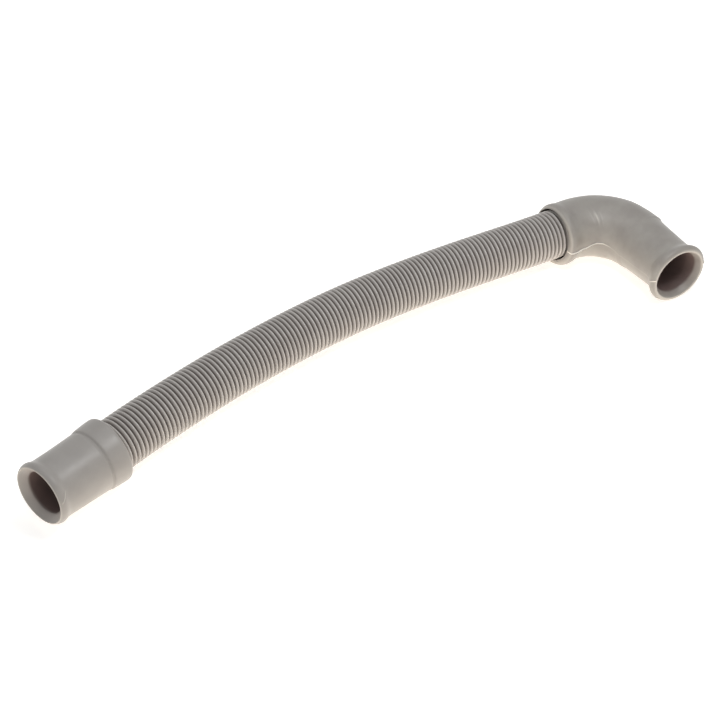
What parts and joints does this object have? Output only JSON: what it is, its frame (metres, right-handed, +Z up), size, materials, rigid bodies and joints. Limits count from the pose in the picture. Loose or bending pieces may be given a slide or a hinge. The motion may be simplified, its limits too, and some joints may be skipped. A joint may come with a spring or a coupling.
{
  "type": "dishwasher drain hose",
  "caption": "Short corrugated drain hose with a straight push-on cuff at one end and a moulded right-angle elbow cuff at the other, lying on its side.",
  "frame": {"origin": "middle of the bounding box, on the surface that the hose lies on", "axes": "+X along the straight cuff's axis into the hose, +Z up, and -Y towards the side that the elbow's mouth faces"},
  "size_m": [0.3618, 0.1514, 0.0348],
  "materials": {
    "hose_plastic": "satin grey extruded polypropylene with fine round ribs",
    "cuff_rubber": "smooth satin grey moulded rubber",
    "elbow_rubber": "smooth satin grey moulded rubber with a fine parting line"
  },
  "bodies": {
    "root": {"corrugated_hose": "hose_plastic", "straight_cuff": "cuff_rubber", "elbow_cuff": "elbow_rubber"}
  },
  "joints": []
}
